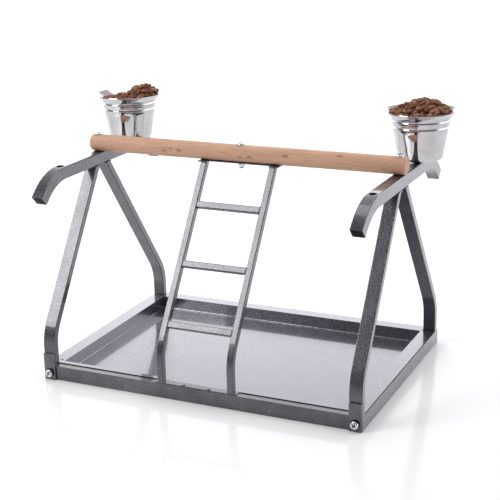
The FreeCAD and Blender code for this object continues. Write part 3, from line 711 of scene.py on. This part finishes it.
def corner_fasteners(zinc, plastic):
    """Screw heads and washers on the lap plates at the base's front corners."""
    low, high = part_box("corner_screws")
    washer_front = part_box("corner_washers")[0].y
    across = (high.x - low.x) / 2 - HEAD_WIDTH / 2 * MM
    level = (low.z + high.z) / 2
    heads = []
    discs = []
    recess_shade_forms = []
    head, cross = pan_head("corner_screw_head")
    disc = start("cylinder", "corner_disc", vertices=HEAD_SIDES, radius=DISC_RADIUS * MM,
                 depth=DISC_THICKNESS * MM, location=(0, 0, -DISC_THICKNESS / 2 * MM))
    settle(disc)
    pick(disc, "EDGE", lambda points: abs(points[0].z - points[1].z) < CLOSE_BY * MM)
    bpy.ops.mesh.bevel(offset=DISC_EDGE * MM, segments=3)
    leave_edit()
    for side, spin in CORNER_SPINS:
        place = (Matrix.Translation((side * across, washer_front, level))
                 @ Matrix.Rotation(math.pi / 2, 4, "X"))
        spun = place @ Matrix.Rotation(spin, 4, "Z")
        heads.append(copy_of(head, "head", spun))
        recess_shade_forms.append(copy_of(cross, "cross", spun))
        discs.append(copy_of(disc, "disc", place))
    for source in (head, disc, cross):
        bpy.data.objects.remove(source)
    # black forms in the corner screws' recesses: painted shade
    dress(join(recess_shade_forms, "corner_screw_recess_shade"), plastic, "stand", angle=30)
    heads = join(heads, "corner_screw_heads")
    dress(heads, zinc, "stand", angle=30)
    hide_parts("corner_screws")
    discs = join(discs, "corner_washer_discs")
    dress(discs, plastic, "stand", angle=30)
    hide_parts("corner_washers")


def perch_fasteners(zinc, plastic):
    """The two screws at the perch's ends and the bolt in its middle."""
    low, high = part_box("perch_end_screws")
    across = (high.x - low.x) / 2 - HEAD_WIDTH / 2 * MM
    seat = high.z - HEAD_HEIGHT * MM
    head, cross = pan_head("perch_screw_head")
    places = [Matrix.Translation((side * across, 0, seat))
              @ Matrix.Rotation(PERCH_SPIN * side, 4, "Z") for side in (-1, 1)]
    ends = join([copy_of(head, "head", place) for place in places], "perch_screw_heads")
    dress(ends, zinc, "stand", angle=30)
    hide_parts("perch_end_screws")
    top = Matrix.Translation((0, 0, seat))
    # black forms in the three heads' recesses: painted shade
    recess_shade_forms = [copy_of(cross, "cross", place) for place in (*places, top)]
    dress(join(recess_shade_forms, "perch_screw_recess_shade"), plastic, "stand", angle=30)
    bpy.data.objects.remove(cross)
    middle = copy_of(head, "perch_bolt_head", top)
    dress(middle, zinc, "stand", angle=30)
    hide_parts("perch_centre_bolt")
    bpy.data.objects.remove(head)


def cap_nut(zinc):
    """The domed nut under the perch: a hexagon with soft corners and a turned dome."""
    low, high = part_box("perch_cap_nut")
    middle = Vector(((low.x + high.x) / 2, (low.y + high.y) / 2, 0))
    radius = (high.x - low.x) / 2
    nut = start("cylinder", "cap_nut", vertices=6, radius=radius, depth=NUT_HEIGHT * MM,
                location=middle + Vector((0, 0, high.z - NUT_HEIGHT / 2 * MM)),
                rotation=(0, 0, math.pi / 6))
    settle(nut)
    pick(nut, "EDGE", lambda points: abs(points[0].z - points[1].z) < CLOSE_BY * MM)
    bpy.ops.mesh.bevel(offset=NUT_EDGE * MM, segments=2)
    leave_edit()
    reach = (high.z - low.z) / MM - NUT_HEIGHT
    turns = (math.pi / 2 * step / DOME_STEPS for step in range(DOME_STEPS))
    rings = [(DOME_SHARE * radius / MM * math.cos(turn), -NUT_HEIGHT - reach * math.sin(turn))
             for turn in turns]
    foot = (rings[0][0], DOME_SINK - NUT_HEIGHT)
    dome = ring_form("dome", [foot] + rings, middle + Vector((0, 0, high.z)), DOME_SIDES)
    close_up(dome)
    edit(dome, "EDGE")
    bpy.ops.mesh.select_all(action="DESELECT")
    bpy.ops.mesh.select_non_manifold()
    bpy.ops.mesh.edge_face_add()
    leave_edit()
    close_up(dome)
    whole = join([nut, dome], "cap_nut_form")
    dress(whole, zinc, "stand", angle=30)
    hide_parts("perch_cap_nut")


def end_caps(plastic):
    """Black caps that sit inside the arms' ends, so that the tube's edge shows round them."""
    for side in ("left", "right"):
        for row, way in (("front", -1), ("rear", 1)):
            low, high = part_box(f"{side}_{row}_cap")
            cap = start("cube", f"{side}_{row}_cap_face", size=1,
                        scale=(CAP_WIDTH * MM, CAP_DEPTH * MM, CAP_WIDTH * MM))
            settle(cap)
            modify(cap, "BEVEL", width=CAP_EDGE * MM, segments=3)
            outer = high.y if way > 0 else low.y
            facing = Vector((0, way * math.cos(ARM_DROP_ANGLE), -math.sin(ARM_DROP_ANGLE)))
            reach = TUBE_SIDE / 2 * MM
            face = Vector(((low.x + high.x) / 2, outer - way * reach * math.sin(ARM_DROP_ANGLE),
                           low.z + reach * math.cos(ARM_DROP_ANGLE)))
            middle = face - facing * (CAP_DEPTH / 2 + CAP_SETBACK) * MM
            matrix = Matrix.Translation(middle) @ Matrix.Rotation(-way * ARM_DROP_ANGLE, 4, "X")
            cap.data.transform(matrix)
            dress(cap, plastic, "stand", angle=30)
            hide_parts(f"{side}_{row}_cap")


# ------------------------------------------------------------------------------------ welds
def weld_bead(length):
    """A short run of weld with its ripples, along X from the origin, half as wide at its ends."""
    steps = max(2, round(length / WELD_PITCH) * 2)
    piece = start("circle", "bead", vertices=WELD_SIDES, radius=WELD_RADIUS / 2 * MM,
                  fill_type="NGON", rotation=(0, math.pi / 2, 0))
    settle(piece)
    edit(piece)
    bpy.ops.mesh.select_all(action="SELECT")
    for step in range(steps):
        extrude((length / steps * MM, 0, 0))
        grow = {0: 2.0, steps - 1: 0.5}.get(step, WELD_NARROW if step % 2 else WELD_WIDE)
        bpy.ops.transform.resize(value=(1, grow, grow),
                                 center_override=(length / steps * (step + 1) * MM, 0, 0))
    leave_edit()
    close_up(piece)
    return piece


def welds(name, runs, material):
    """Beads between pairs of points, joined into one piece."""
    pieces = []
    for first, last in runs:
        way = last - first
        source = weld_bead(way.length / MM)
        turn = Vector((1, 0, 0)).rotation_difference(way).to_matrix().to_4x4()
        source.data.transform(Matrix.Translation(first) @ turn)
        pieces.append(source)
    dress(join(pieces, name), material, "stand", angle=60)


def leg_welds(material):
    """Beads round the legs' tops, under the arms."""
    runs = []
    for side in ("left", "right"):
        for row in ("front", "rear"):
            low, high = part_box(f"{side}_{row}_leg")
            depth = LEG_TOP_DEPTH * MM
            inner = low.y if row == "rear" else high.y - depth
            corners = [Vector((across, along, high.z - LEG_WELD_DROP * MM))
                       for across, along in ((low.x, inner), (high.x, inner),
                                             (high.x, inner + depth), (low.x, inner + depth))]
            runs += [(corners[0], corners[1]), (corners[2], corners[3]),
                     (corners[1], corners[2]), (corners[3], corners[0])]
    welds("leg_welds", runs, material)


def ladder_welds(material):
    """Beads where the rungs meet the rails, and on the rails' tops."""
    up = Vector((0, math.sin(LADDER_LEAN), math.cos(LADDER_LEAN)))
    out = Vector((0, -math.cos(LADDER_LEAN), math.sin(LADDER_LEAN)))
    half = RUNG_REACH * MM
    runs = []
    for name in ("lower", "middle", "upper"):
        low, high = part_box(f"ladder_{name}_rung")
        for across in (low.x, high.x):
            middle = Vector((across, (low.y + high.y) / 2, (low.z + high.z) / 2))
            runs.append((middle + out * half - up * half, middle + out * half + up * half))
            runs.append((middle + up * half + out * half, middle + up * half - out * half))
    for side in ("left", "right"):
        low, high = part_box(f"ladder_{side}_rail")
        front = high.y - LADDER_TOP_DEPTH * MM
        runs.append((Vector((low.x + MM, front, high.z)), Vector((high.x - MM, front, high.z))))
    welds("ladder_welds", runs, material)


# ------------------------------------------------------------------------------- the object
paint = powder_coat("hammered_grey", grain=2.2, depth=0.10, metal=0.5, coat=1.5,
                    dark=(64, 63, 70), light=(84, 83, 91))
tray_low, tray_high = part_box("drip_tray")
# edges: where the tray's painted edge shade lies
tray_paint = powder_coat("tray_grey", grain=3.0, depth=0.002, metal=0.85, coat=2.0,
                         dark=(116, 115, 125), light=(124, 123, 133),
                         edges=(tray_high.x / MM, -tray_low.y / MM, tray_high.y / MM))
steel = polished_steel()
wood = beech_wood()
zinc = zinc_plate()
plastic = black_plastic()
pellets = kibble()

finishes = {"frame_paint": paint, "tray": tray_paint, "perch_wood": wood, "cup_steel": steel,
            "zinc": zinc, "black_plastic": plastic, "black_nylon": plastic}
for entry in frame["record"]["subparts"]:
    repaint(entry["node"], finishes[entry["material_slot"]])

perch(wood)
corner_fasteners(zinc, plastic)
perch_fasteners(zinc, plastic)
cap_nut(zinc)
end_caps(plastic)
leg_welds(paint)
ladder_welds(paint)
left_rim = cup("left", steel)
right_rim = cup("right", steel)
food("left", left_rim, pellets, seed=5, peak=(25, 8), crest=14, spread=27, edge=-9, fullness=2)
food("right", right_rim, pellets, seed=11, peak=(2, 4), crest=13, spread=38, edge=-6, fullness=3)

# --------------------------------------------------------------------- the studio, in metres
FLOOR_SIZE = 12
FRONT_GLOW = (0.16, 0.16, 0.17)
HIGH_GLOW = (0.7, 0.7, 0.73)
LOW_GLOW = (2.1, 2.07, 2.17)


def softbox(name, place, target, size, strength):
    """A rectangular lamp at a place, turned to a target; strength is its own brightness."""
    lamp = bpy.data.lights.new(name, "AREA")
    lamp.shape = "RECTANGLE"
    lamp.size, lamp.size_y = size
    lamp.energy = strength * math.pi * size[0] * size[1]
    holder = bpy.data.objects.new(name, lamp)
    bpy.context.collection.objects.link(holder)
    holder.location = place
    holder.rotation_euler = (Vector(target) - Vector(place)).to_track_quat("-Z", "Y").to_euler()


def studio_room():
    """What the metal mirrors: a dim front, a grey sky behind and a bright low wall behind.

    The camera itself sees plain white."""
    world = bpy.data.worlds.new("studio")
    bpy.context.scene.world = world
    world.use_nodes = True
    sky = Finish("studio", world.node_tree)
    direction = sky.add("TexCoord", output="Generated")
    parts = sky.node("SeparateXYZ", None, [direction])
    north, up = (Value(sky, parts.outputs[axis]) for axis in ("Y", "Z"))
    behind = sky.range(north, -0.25, 0.25)
    low_down = sky.range(up, 0.25, 0.55, 1, 0)
    room = sky.blend(behind, FRONT_GLOW, sky.blend(low_down, HIGH_GLOW, LOW_GLOW))
    camera_ray = sky.add("LightPath", output="Is Camera Ray")
    room = sky.blend(camera_ray, room, (1, 1, 1))
    backdrop = sky.add("Background", None, {"Color": room, "Strength": 1.0})
    sky.node("OutputWorld", None, {"Surface": backdrop})


def photograph_camera():
    """The camera that took the photograph, as far as its picture tells."""
    camera = bpy.data.objects.new("camera", bpy.data.cameras.new("camera"))
    bpy.context.collection.objects.link(camera)
    camera.data.lens = CAMERA_LENS
    camera.data.sensor_width = SENSOR_WIDTH
    camera.matrix_world = (Matrix.Translation(CAMERA_PLACE) @ Matrix.Rotation(CAMERA_YAW, 4, "Z")
                           @ Matrix.Rotation(math.pi / 2 + CAMERA_PITCH, 4, "X")
                           @ Matrix.Rotation(CAMERA_ROLL, 4, "Z"))
    bpy.context.scene.camera = camera


floor = start("plane", "studio_floor", size=FLOOR_SIZE)
floor.data.materials.append(studio_floor())
softbox("left_softbox", place=(-1.5, -1.7, 1.75), target=(0, 0, 0.2), size=(1.1, 1.6), strength=6.4)
softbox("top_softbox", place=(0.3, 0.4, 2.6), target=(0, 0, 0), size=(2.2, 1.8), strength=1.7)
studio_room()
photograph_camera()
bpy.context.scene.view_settings.view_transform = "Standard"
